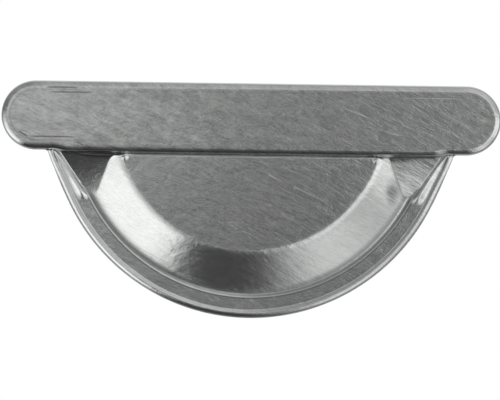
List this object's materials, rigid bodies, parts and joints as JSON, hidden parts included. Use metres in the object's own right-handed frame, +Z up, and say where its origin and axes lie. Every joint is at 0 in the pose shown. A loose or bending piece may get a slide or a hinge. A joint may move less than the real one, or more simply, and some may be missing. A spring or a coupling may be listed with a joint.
{
  "type": "gutter end cap",
  "caption": "Pressed sheet-metal end cap for a half-round rain gutter: a half disc with a raised dish under a long round-ended bar.",
  "frame": {"origin": "centre of the half-round trough, in the plane where the end of the gutter stops against the cap", "axes": "+X across the gutter along the bar, +Y into the gutter, +Z up; the face seen on the finished gutter looks towards -Y"},
  "size_m": [0.196, 0.0207, 0.0923],
  "materials": {
    "zinc_sheet": "mill-finish sheet, plain grey with a fine rolled grain and light handling scratches"
  },
  "bodies": {
    "root": {"end_cap": "zinc_sheet"}
  },
  "joints": []
}
